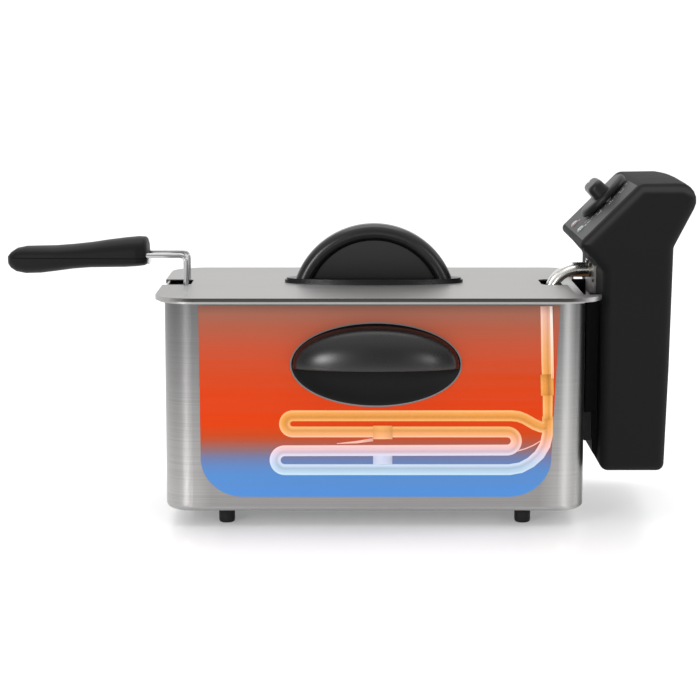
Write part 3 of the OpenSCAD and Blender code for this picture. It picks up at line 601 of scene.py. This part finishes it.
# one stroke: riser foot, run 1, far turn, run 2, near turn, run 3, far turn, run 4 and up to the riser
ribbon("zone_tube_upper", path_points([("L", 121, 72.2), ("L", 117, 72.4), ("L", 112.5, 74.2), ("L", 105.5, 78.3), ("L", 101, 80.0), ("L", 96, 80.5),
        ("L", -58, 80.5), ("A", -58, 74.7, 5.8, 90, 270), ("L", 93.2, 68.9), ("A", 93.2, 62.4, 6.5, 90, -90),
        ("L", -63.8, 55.4), ("A", -63.8, 48.6, 6.8, 90, 270), ("L", 95, 41.8),
        ("L", 103, 43.2), ("L", 110, 47.0), ("L", 116, 52.5), ("L", 120, 59.5), ("L", 121.6, 67), ("L", 121.6, 80)]), HW)
ribbon("zone_riser_left", path_points([("L", 119.6, 158.2), ("L", 120.3, 120), ("L", 121.4, 96), ("L", 121.6, 78)]), 3.9, y=-95.44,
       widths=lambda t: 4.1 - 0.7 * t)
ribbon("zone_riser_right", path_points([("L", 123.0, 158.2), ("L", 124.0, 130), ("L", 124.6, 107)]), 0.9, y=-95.9, h=0.2, edge=0.9, core=0,
       tint=lambda x, z: lerp_stops([(107, (240, 178, 120)), (130, (250, 214, 190)), (158, (250, 236, 228))], z))
ribbon("zone_sleeve", path_points([("L", 120.6, 110), ("L", 121.2, 95)]), 4.6, y=-95.6, h=0.55, edge=0.2, core=0.2,
       tint=lambda x, z: (228, 148, 58))
ribbon("zone_clip", path_points([("L", -1.4, 68.6), ("L", 12.2, 68.6)]), 4.9, y=-95.7, h=0.35, edge=0.15, core=0.05,
       tint=lambda x, z: lerp_stops([(64, (246, 176, 128)), (73.5, (240, 164, 78))], z))
ribbon("zone_clip_low", path_points([("L", -1.4, 48.9), ("L", 12.2, 48.9)]), 3.2, y=-95.3, h=0.45, edge=0.1, core=0.0,
       tint=lambda x, z: (206, 212, 236))
ribbon("zone_probe", path_points([("L", -27, 60.6), ("L", -13, 61.6), ("L", -1.4, 63.4)]), 1.0, y=-95.3, h=0.4, edge=0.2, core=0,
       tint=lambda x, z: (250, 190, 172), widths=lambda t: 0.25 + 0.95 * t)
ribbon("zone_probe_end", path_points([("L", 100.5, 55.2), ("L", 106, 56.8), ("L", 112, 59.4), ("L", 117, 62.6)]), 0.45, y=-95.3, h=0.3, edge=0.2, core=0,
       tint=lambda x, z: (250, 190, 180))


# ------------------------------------------------------------------ oval side grips
def side_grip(name, sgn):
    """Rim, finger recess and hood. sgn -1 is the front, +1 the rear."""
    cx, cz = 0.5, 116.8
    yw = 95.0
    parts = []

    def pt(x, y, z):
        return (x / 1000, sgn * y / 1000, z / 1000)
    # rim ring and recess bowl: one surface from outside to the floor
    prof = [(59.5, 29.15, 95.0), (59.4, 29.05, 95.7), (59.0, 28.65, 96.15), (58.5, 28.15, 96.2), (57.6, 27.3, 95.9), (56.0, 25.7, 95.2),
            (52.0, 22.4, 93.8), (46.0, 18.8, 92.6), (36.0, 14.0, 91.7), (24.0, 9.2, 91.3), (12.0, 4.6, 91.2), (1.0, 0.5, 91.2)]
    rings = []
    for a, b, y in prof:
        rings.append([pt(cx + a * math.cos(2 * math.pi * i / 96), y, cz + b * math.sin(2 * math.pi * i / 96)) for i in range(96)])
    back = [[pt(cx + a * math.cos(2 * math.pi * i / 96), y, cz + b * math.sin(2 * math.pi * i / 96)) for i in range(96)]
            for a, b, y in ((1.0, 0.5, 87.9), (50.0, 21.0, 87.9), (56.2, 25.8, 90.5), (56.2, 25.8, 94.9))]
    parts.append(loft(list(reversed(rings)) , False))
    v, f = loft(back, False)
    parts.append((v, f))
    V, F = join(parts)
    # close the strip between the rim's outer edge and the body
    n = 96
    a0 = (len(prof) - 1) * n
    b0 = len(prof) * n + 3 * n
    for i in range(n):
        j = (i + 1) % n
        F.append((a0 + i, a0 + j, b0 + j, b0 + i))
    c0, d0 = 0, len(prof) * n
    for i in range(n):
        j = (i + 1) % n
        F.append((c0 + j, c0 + i, d0 + i, d0 + j))
    parts = [(V, F)]
    # hood: quarter ellipsoid with a rolled lower lip
    T, P = 64, 20
    grid = []
    for i in range(T + 1):
        t = math.pi * i / T
        st = max(math.sin(t), 0.0) ** 0.86
        row = []
        x = cx + 58.6 * math.cos(t)
        for j in range(P + 1):
            p = math.pi / 2 * (1 - j / P)
            row.append((x, yw + 0.6 + 20.2 * st * math.cos(p) ** 0.92, cz - 1.0 + 29.0 * st * math.sin(p)))
        # lip: round under and back inside
        yl = yw + 0.6 + 20.2 * st
        for q in (20, 55, 90, 125, 160):
            a = math.radians(q)
            row.append((x, yl - 1.1 + 1.1 * math.cos(a), cz - 1.0 - 1.1 * math.sin(a)))
        for j in range(8):
            p = math.pi / 2 * j / 7
            k = max(st, 0)
            row.append((x, yw - 1.5 + (20.2 * k - 0.6 + 0.1) * math.cos(p) ** 0.95 if k > 0.15 else yw - 1.5, cz - 1.0 + 25.6 * k * math.sin(p)))
        grid.append(row)
    m = len(grid[0])
    V = [pt(*p) for r in grid for p in r]
    F = []
    for i in range(T):
        for j in range(m):
            k = (j + 1) % m
            F.append((i * m + j, (i + 1) * m + j, (i + 1) * m + k, i * m + k))
    parts.append((V, F))
    V, F = join(parts)
    return piece(name, V, F, "casing", "hood", angle=50, replaces=("front_grip" if sgn < 0 else "rear_grip",))


side_grip("side_grip_front", -1)
side_grip("side_grip_rear", 1)


# ------------------------------------------------------------------ basket handle grip
TOP = [(-271, 181), (-270, 184.6), (-268, 187.2), (-264, 189.8), (-257, 191.2), (-246, 191.4), (-235, 191.6), (-222, 192.6), (-209, 194),
       (-196, 196), (-183, 197.6), (-174, 198.4), (-169, 198.2), (-167.6, 197.0), (-166.9, 194.5)]
BOT = [(-271, 181), (-270, 177.6), (-268, 175.2), (-264, 172.8), (-257, 171.5), (-246, 171.8), (-235, 173.2), (-222, 175), (-209, 176),
       (-196, 176.2), (-183, 176.4), (-174, 177.0), (-169, 177.6), (-167.6, 178.4), (-166.9, 180.0)]
WID = [(-271, 0.5), (-270, 7.0), (-268, 10.6), (-264, 13.4), (-257, 14.9), (-246, 16.0), (-235, 17.2), (-222, 17.6), (-209, 17.8),
       (-196, 18.3), (-183, 19.0), (-174, 19.4), (-169, 17.4), (-167.6, 16.2), (-166.9, 15.0)]


def interp(T, x):
    for (a, va), (b, vb) in zip(T, T[1:]):
        if x <= b:
            return va + (vb - va) * (x - a) / (b - a)
    return T[-1][1]


def grip_half(name, up, node):
    xs = sorted(set([a for a, _ in TOP] + [-271 + 2.5 * i for i in range(42)]))
    xs = [x for x in xs if x <= -166.9]
    zs = 183.7
    rings = []
    for x in xs:
        zt, zb, w = interp(TOP, x), interp(BOT, x), interp(WID, x)
        zc = min(max(zs, zb + 0.3), zt - 0.3) if x > -270.5 else 181
        ring = []
        K = 26
        for i in range(K + 1):
            a = math.pi * i / K
            cy = math.copysign(abs(math.cos(a)) ** (2 / 3.0), math.cos(a))
            sy = abs(math.sin(a)) ** (2 / 2.6)
            if up:
                ring.append((x, w * cy, zc + 0.22 + (zt - zc - 0.22) * sy))
            else:
                ring.append((x, w * cy, zc - 0.22 - (zc - 0.22 - zb) * sy))
        ring.append((x, -w * 0.965, zc))
        ring.append((x, w * 0.965, zc))
        rings.append([(p[0] / 1000, p[1] / 1000, p[2] / 1000) for p in ring])
    v, f = loft(rings)
    return piece(name, v, f, "basket_handle", "grip", angle=45, replaces=(node,))


grip_half("handle_grip_upper", True, "grip_upper")
grip_half("handle_grip_lower", False, "grip_lower")

# ------------------------------------------------------------------ control unit housing
HU = [(161.6, 36), (207.7, 36), (210.1, 110), (211.8, 197), (235.0, 242), (187.5, 242), (144.2, 198.7), (153.7, 189.4), (161.6, 180.5)]
HR = [6, 5.5, 60, 7, 12, 8, 4, 9, 5]


def p_unit(v):
    d = math.hypot(*v)
    return (v[0] / d, v[1] / d)


def p_inset(P, d):
    out = []
    for i in range(len(P)):
        a, b, c = P[i - 1], P[i], P[(i + 1) % len(P)]
        u, w = p_unit((b[0] - a[0], b[1] - a[1])), p_unit((c[0] - b[0], c[1] - b[1]))
        nu, nw = (-u[1], u[0]), (-w[1], w[0])
        k = d / (1 + nu[0] * nw[0] + nu[1] * nw[1])
        out.append((b[0] + k * (nu[0] + nw[0]), b[1] + k * (nu[1] + nw[1])))
    return out


def p_fillet(a, b, c, r, n):
    u, w = p_unit((a[0] - b[0], a[1] - b[1])), p_unit((c[0] - b[0], c[1] - b[1]))
    ang = math.acos(max(-1, min(1, u[0] * w[0] + u[1] * w[1])))
    t = r / math.tan(ang / 2)
    m = p_unit((u[0] + w[0], u[1] + w[1]))
    cx, cz = b[0] + m[0] * r / math.sin(ang / 2), b[1] + m[1] * r / math.sin(ang / 2)
    p, q = (b[0] + u[0] * t - cx, b[1] + u[1] * t - cz), (b[0] + w[0] * t - cx, b[1] + w[1] * t - cz)
    a0 = math.atan2(p[1], p[0])
    d = (math.atan2(q[1], q[0]) - a0 + 3 * math.pi) % (2 * math.pi) - math.pi
    return [(cx + r * math.cos(a0 + d * i / n), cz + r * math.sin(a0 + d * i / n)) for i in range(n + 1)]


def p_smooth(P, R, d, n=6):
    Q = p_inset(P, d)
    out = []
    for i in range(len(P)):
        a, b, c = P[i - 1], P[i], P[(i + 1) % len(P)]
        cr = (b[0] - a[0]) * (c[1] - b[1]) - (b[1] - a[1]) * (c[0] - b[0])
        r = max(R[i] - d, 1.2) if cr > 0 else R[i] + d
        out += p_fillet(Q[i - 1], Q[i], Q[(i + 1) % len(P)], r, n)
    return out


def rear_x(z):
    return 205.2 + (z - 36) * 2.3 / 74 if z < 110 else 207.5 + (z - 110) * 1.8 / 86


def housing():
    """Moulded shell with broad rounded ends; open at the back for the cover."""
    F0, K = 9.5, 8
    st = []
    for k in range(K + 1):
        a = math.pi / 2 * (1 - k / K)
        st.append((F0 * (1 - math.cos(a)), -77 + F0 * (1 - math.sin(a))))
    st += [(0.0, -64.0), (0.0, -40.0), (0.0, -14.0), (0.0, 14.0), (0.0, 40.0), (0.0, 64.0)]
    st += [(d, -y) for d, y in reversed(st[:-6])]
    base = []
    # extra points on the rear wall, so that the opening has straight edges
    rings = []
    for d, y in st:
        P = p_smooth(HU, HR, d)
        n0 = len(P)
        R = []
        for i in range(n0):
            R.append(P[i])
        rings.append((y, R))
    lows = None
    V, F = [], []
    n = len(rings[0][1])
    # index of the two rear wall gaps nearest the opening's ends, measured on the full profile
    prof = rings[len(st) // 2][1]
    cut = []
    for zc in (50.0, 186.0):
        best = None
        for i in range(n):
            a, b = prof[i], prof[(i + 1) % n]
            if a[0] > 200 and b[0] > 200 and min(a[1], b[1]) <= zc <= max(a[1], b[1]) and b[1] > a[1]:
                best = (i, (zc - a[1]) / (b[1] - a[1]))
        cut.append(best)
    full = []
    for y, R in rings:
        Q = []
        for i in range(n):
            Q.append(R[i])
            for (j, t) in cut:
                if i == j:
                    b = R[(i + 1) % n]
                    Q.append((R[i][0] + (b[0] - R[i][0]) * t, R[i][1] + (b[1] - R[i][1]) * t))
        full.append((y, Q))
    n = len(full[0][1])
    for y, Q in full:
        for x, z in Q:
            # the top is slightly crowned from side to side, behind the panel
            w = min(1.0, max(0.0, (x - 188) / 10)) * min(1.0, max(0.0, (z - 200) / 40))
            V.append((x / 1000, y / 1000, (z + 1.9 * (1 - (y / 77) ** 2) * w) / 1000))
    for k in range(len(full) - 1):
        mid = abs(full[k][0]) <= 64.01 and abs(full[k + 1][0]) <= 64.01
        for i in range(n):
            j = (i + 1) % n
            a, b = full[k][1][i], full[k][1][j]
            if mid and a[0] > 200 and b[0] > 200 and min(a[1], b[1]) > 49.9 and max(a[1], b[1]) < 186.1:
                continue
            F.append((k * n + i, k * n + j, (k + 1) * n + j, (k + 1) * n + i))
    F.append(tuple(range(n))[::-1])
    F.append(tuple((len(full) - 1) * n + i for i in range(n)))
    parts = [(V, F)]
    # lip behind the opening's edge
    def box(x0, x1, y0, y1, z0, z1, c=0.0):
        q = [(x, y, z) for x in (x0, x1) for y in (y0, y1) for z in (z0, z1)]
        f = [(0, 1, 3, 2), (4, 6, 7, 5), (0, 4, 5, 1), (2, 3, 7, 6), (0, 2, 6, 4), (1, 5, 7, 3)]
        return ([(a / 1000, b / 1000, d / 1000) for a, b, d in q], f)
    for z0, z1, x1 in ((50, 84, 207.9), (84, 118, 209.0), (118, 152, 210.0), (152, 186, 210.6)):
        parts.append(box(200, x1, -66, -64, z0, z1))
        parts.append(box(200, x1, 64, 66, z0, z1))
    parts.append(box(200, 207.9, -66, 66, 48, 50))
    parts.append(box(200, 211.2, -66, 66, 186, 188))
    for sg in (-1, 1):
        parts.append(box(151.6, 162.6, sg * 46.25 - 1.25, sg * 46.25 + 1.25, 75.3, 161.6))
        parts.append(box(151.6, 153.0, sg * 43.6 - 3.9, sg * 43.6 + 3.9, 75.3, 157.5))
    # foot between the rails, standing on the guide's ledge
    foot = [(158.2, 46), (164.3, 36.4), (168, 36.4), (168, 77.8), (161, 77.8), (158.2, 75)]
    parts.append(loft([[(x / 1000, y / 1000, z / 1000) for x, z in foot] for y in (-47.8, 47.8)]))
    V, F = join(parts)
    return piece("control_housing_shell", V, F, "control_unit", "housing", angle=42, replaces=("control_housing",))


housing()


# ------------------------------------------------------------------ scale printed on the panel
def on_panel(x, y, z):
    """Panel frame (mm) to row frame (m): local +Z leaves the panel, local +X runs up the slope."""
    q = math.sqrt(0.5)
    return ((171.5 + q * x - q * z) / 1000, y / 1000, (226 + q * x + q * z) / 1000)


def scale_marks():
    parts = []

    def bar(cx, cy, ang, ln, wd):
        c, s_ = math.cos(ang), math.sin(ang)
        q = []
        for z in (0.16, 0.26):
            for u, v in ((-ln / 2, -wd / 2), (ln / 2, -wd / 2), (ln / 2, wd / 2), (-ln / 2, wd / 2)):
                q.append(on_panel(cx + c * u - s_ * v, cy + s_ * u + c * v, z))
        parts.append((q, [(0, 3, 2, 1), (4, 5, 6, 7), (0, 1, 5, 4), (1, 2, 6, 5), (2, 3, 7, 6), (3, 0, 4, 7)]))
    for i in range(13):
        a = math.radians(-90 - 66 + 11 * i)
        big = i % 2 == 0
        r = 25.0 if big else 24.5
        x, y = r * math.cos(a), r * math.sin(a)
        if x < 20:
            bar(x, y, a, 2.6 if big else 1.5, 0.5)
        if big:
            for o in (-1.25, 0.0, 1.25):
                x, y = 30.2 * math.cos(a) - o * math.sin(a) * 1.3, 30.2 * math.sin(a) + o * math.cos(a) * 1.3
                if x < 19.5 and abs(y) < 65:
                    bar(x, y, a, 2.2, 0.42)
                    bar(x + 0.9 * math.cos(a), y + 0.9 * math.sin(a), a + math.pi / 2, 1.0, 0.4)
    for y in (-22, 22):
        for k in range(3):
            bar(-24.6, y - 1.6 + 1.6 * k, 0, 1.5, 0.45)
    V, F = join(parts)
    return piece("panel_scale_print", V, F, "control_unit", "print", smooth=False)


scale_marks()


# ------------------------------------------------------------------ knob
def knob():
    parts = []
    prof = [(0.5, 7.05), (13, 7.0), (17.9, 6.8), (19.4, 6.4), (20.3, 5.7), (20.8, 4.6), (20.88, 3.2), (20.8, 2.2), (20.6, 1.75), (18.9, 1.75), (18.8, 4.6), (6, 4.6), (6, 1.75), (3.1, 1.75)]
    n = 96
    rings = []
    for r, z in prof:
        rings.append([on_panel((r + (0.12 * math.cos(48 * 2 * math.pi * i / n) if 20.2 < r and 2.0 < z < 5.8 else 0)) * math.cos(2 * math.pi * i / n),
                               (r + (0.12 * math.cos(48 * 2 * math.pi * i / n) if 20.2 < r and 2.0 < z < 5.8 else 0)) * math.sin(2 * math.pi * i / n), z) for i in range(n)])
    parts.append(loft(rings, True))
    # paddle: rounded bar across the disc with a soft top
    rings = []
    for k in range(9):
        a = math.pi / 2 * k / 8
        ins = 3.4 * (1 - math.cos(a))
        z = 5.2 if k == 0 else 13.0 + 3.8 * math.sin(a)
        hx, hy = 7.0 - ins - (0.0 if k == 0 else 0.5), 18.4 - ins
        rad = hx - 0.05
        ring = []
        for i in range(64):
            t = 2 * math.pi * i / 64
            ring.append(on_panel(hx * math.copysign(abs(math.cos(t)) ** 0.9, math.cos(t)), (hy - rad) * (1 if math.sin(t) > 0 else -1) * min(1, abs(math.sin(t)) * 4) + rad * math.sin(t), z))
        rings.append(ring)
    parts.append(loft(rings, True))
    V, F = join(parts)
    return piece("thermostat_knob_body", V, F, "knob", "knob", angle=40, replaces=("thermostat_knob",))


knob()


# ------------------------------------------------------------------ woven wire basket
def basket():
    cx, L, W = -6.0, 250.0, 144.0
    z0, z1 = 76.0, 148.0
    rv, rb, r = 28.0, 12.0, 0.5
    parts = []

    def outline(ins, n=7):
        hx, hy, q = L / 2 - 0.7 - ins, W / 2 - 0.7 - ins, max(rv - 0.7 - ins, 3)
        P = []
        for sx, sy, a0 in ((1, -1, -90), (1, 1, 0), (-1, 1, 90), (-1, -1, 180)):
            for i in range(n + 1):
                a = math.radians(a0 + 90 * i / n)
                P.append((cx + sx * (hx - q) + q * math.cos(a), sy * (hy - q) + q * math.sin(a)))
        return P
    pitch = 5.5
    # horizontal rings up the wall and round the bottom edge
    k = 0
    z = z0 + rb
    while z < z1 - 2.2:
        P = outline(0.0)
        parts.append(tube([(x, y, z) for x, y in P] + [(P[0][0], P[0][1], z)], r, 5, False))
        z += pitch
    for a in (22.5, 45, 67.5):
        ins = rb * (1 - math.cos(math.radians(a)))
        zz = z0 + rb - rb * math.sin(math.radians(a)) + 0.6
        P = outline(ins)
        parts.append(tube([(x, y, zz) for x, y in P] + [(P[0][0], P[0][1], zz)], r, 5, False))

    def rib(path):
        parts.append(tube(path, r, 5, True))

    def arc_down(sx, sy, x, y):
        """From the rim down the wall and round to the floor; inward direction (sx, sy)."""
        out = [(x, y, z1 - 0.5), (x, y, z0 + rb)]
        for a in (22.5, 45, 67.5, 90):
            i = (rb - 0.6) * (1 - math.cos(math.radians(a)))
            out.append((x + sx * i, y + sy * i, z0 + rb - (rb - 0.6) * math.sin(math.radians(a))))
        return out
    hx, hy = L / 2 - 0.7, W / 2 - 0.7
    n = int((2 * (hx - rv)) // pitch)
    for i in range(n + 1):
        x = cx - (hx - rv) + 2 * (hx - rv) * i / n
        a, b = arc_down(0, 1, x, -hy), arc_down(0, -1, x, hy)
        rib(a + list(reversed(b)))
    n = int((2 * (hy - rv)) // pitch)
    for i in range(n + 1):
        y = -(hy - rv) + 2 * (hy - rv) * i / n
        a, b = arc_down(1, 0, cx - hx, y), arc_down(-1, 0, cx + hx, y)
        rib(a + list(reversed(b)))
    for sx in (-1, 1):
        for sy in (-1, 1):
            for i in range(1, 8):
                t = math.radians(90 * i / 8)
                q = rv - 0.7
                ox, oy = cx + sx * (hx - q), sy * (hy - q)
                dx, dy = sx * math.cos(t), sy * math.sin(t)
                path = [(ox + q * dx, oy + q * dy, z1 - 0.5), (ox + q * dx, oy + q * dy, z0 + rb)]
                for a in (22.5, 45, 67.5, 90):
                    i2 = (rb - 0.6) * (1 - math.cos(math.radians(a)))
                    path.append((ox + (q - i2) * dx, oy + (q - i2) * dy, z0 + rb - (rb - 0.6) * math.sin(math.radians(a))))
                rib(path)
    V, F = join(parts)
    return piece("basket_wires", V, F, "basket", "chrome", replaces=("basket_mesh",))


basket()

# ------------------------------------------------------------------ smooth the carried-over CAD nodes
for name, o in N.items():
    if name in ("control_housing", "thermostat_knob", "basket_mesh"):
        continue
    try:
        b = o.modifiers.new("Soft", "WEIGHTED_NORMAL")
        b.keep_sharp = True
    except Exception:
        pass

# ------------------------------------------------------------------ camera, floor, light
cam = bpy.data.cameras.new("cam")
cam.sensor_width = 36
cam.lens = 2220 / 700 * 36
co = bpy.data.objects.new("cam", cam)
scene.collection.objects.link(co)
co.location = (-0.0177, -1.637, 0.3495)
co.rotation_euler = (math.pi / 2 - math.atan(320 / 2220), 0, 0)
cam.clip_start = 0.05
cam.clip_end = 60
scene.camera = co


def floor():
    bm = bmesh.new()
    bmesh.ops.create_grid(bm, x_segments=2, y_segments=2, size=9)
    me = bpy.data.meshes.new("floor")
    bm.to_mesh(me)
    bm.free()
    o = bpy.data.objects.new("floor", me)
    scene.collection.objects.link(o)
    o.location.z = 0
    k = Mat("floor_white", 0.26, 0.0, 0.35)
    w = k.noise((3, 3, 3), 2.0)
    k.color(k.ramp(w, [(0.3, (0.93, 0.93, 0.93, 1)), (0.7, (0.95, 0.95, 0.95, 1))]))
    k.b.inputs["Emission Color"].default_value = (1, 1, 1, 1)
    k.b.inputs["Emission Strength"].default_value = 0.2
    me.materials.append(k.m)


floor()


def area(name, loc, target, size, size_y, power, color=(1, 1, 1)):
    l = bpy.data.lights.new(name, "AREA")
    l.shape = "RECTANGLE"
    l.size, l.size_y = size, size_y
    l.energy = power
    l.color = color
    o = bpy.data.objects.new(name, l)
    o.location = loc
    d = Vector(target) - Vector(loc)
    o.rotation_euler = d.to_track_quat("-Z", "Y").to_euler()
    scene.collection.objects.link(o)
    return o


area("key_left", (-1.12, -1.95, 0.66), (0, -0.05, 0.13), 0.42, 0.6, 15)
area("side_right", (2.0, 0.3, 0.7), (0.1, 0, 0.12), 0.6, 1.4, 7)
area("front_right", (1.15, -1.9, 0.62), (0, -0.05, 0.13), 0.30, 0.6, 4)
area("top", (0.0, 0.5, 2.2), (0, 0, 0.1), 1.8, 1.4, 16)

# soft studio: white behind and above, darker towards the front
world = bpy.data.worlds.new("world")
scene.world = world
world.use_nodes = True
wt = world.node_tree
bg = wt.nodes["Background"]
tc = wt.nodes.new("ShaderNodeTexCoord")
sp = wt.nodes.new("ShaderNodeSeparateXYZ")
wt.links.new(tc.outputs["Generated"], sp.inputs[0])


def wmath(op, a, b):
    k = wt.nodes.new("ShaderNodeMath")
    k.operation = op
    for i, v in enumerate((a, b)):
        if hasattr(v, "is_linked"):
            wt.links.new(v, k.inputs[i])
        else:
            k.inputs[i].default_value = v
    return k.outputs[0]


def wspan(v, a, b, c, d):
    k = wt.nodes.new("ShaderNodeMapRange")
    k.interpolation_type = "SMOOTHSTEP"
    for i, q in zip(("From Min", "From Max", "To Min", "To Max"), (a, b, c, d)):
        k.inputs[i].default_value = q
    wt.links.new(v, k.inputs["Value"])
    return k.outputs[0]


back = wspan(sp.outputs[1], -0.35, 0.45, 0.0, 1.0)
high = wspan(sp.outputs[2], 0.35, 0.9, 0.0, 1.0)
front = wspan(sp.outputs[2], -0.2, 0.5, 0.50, 0.36)
val = wmath("ADD", wmath("MULTIPLY", wmath("SUBTRACT", 1.0, back), front), wmath("MULTIPLY", back, 1.03))
val = wmath("ADD", wmath("MULTIPLY", val, wmath("SUBTRACT", 1.0, high)), wmath("MULTIPLY", high, 0.95))
cb = wt.nodes.new("ShaderNodeCombineColor")
for i in range(3):
    wt.links.new(val, cb.inputs[i])
wt.links.new(cb.outputs[0], bg.inputs["Color"])
bg.inputs["Strength"].default_value = 1.0
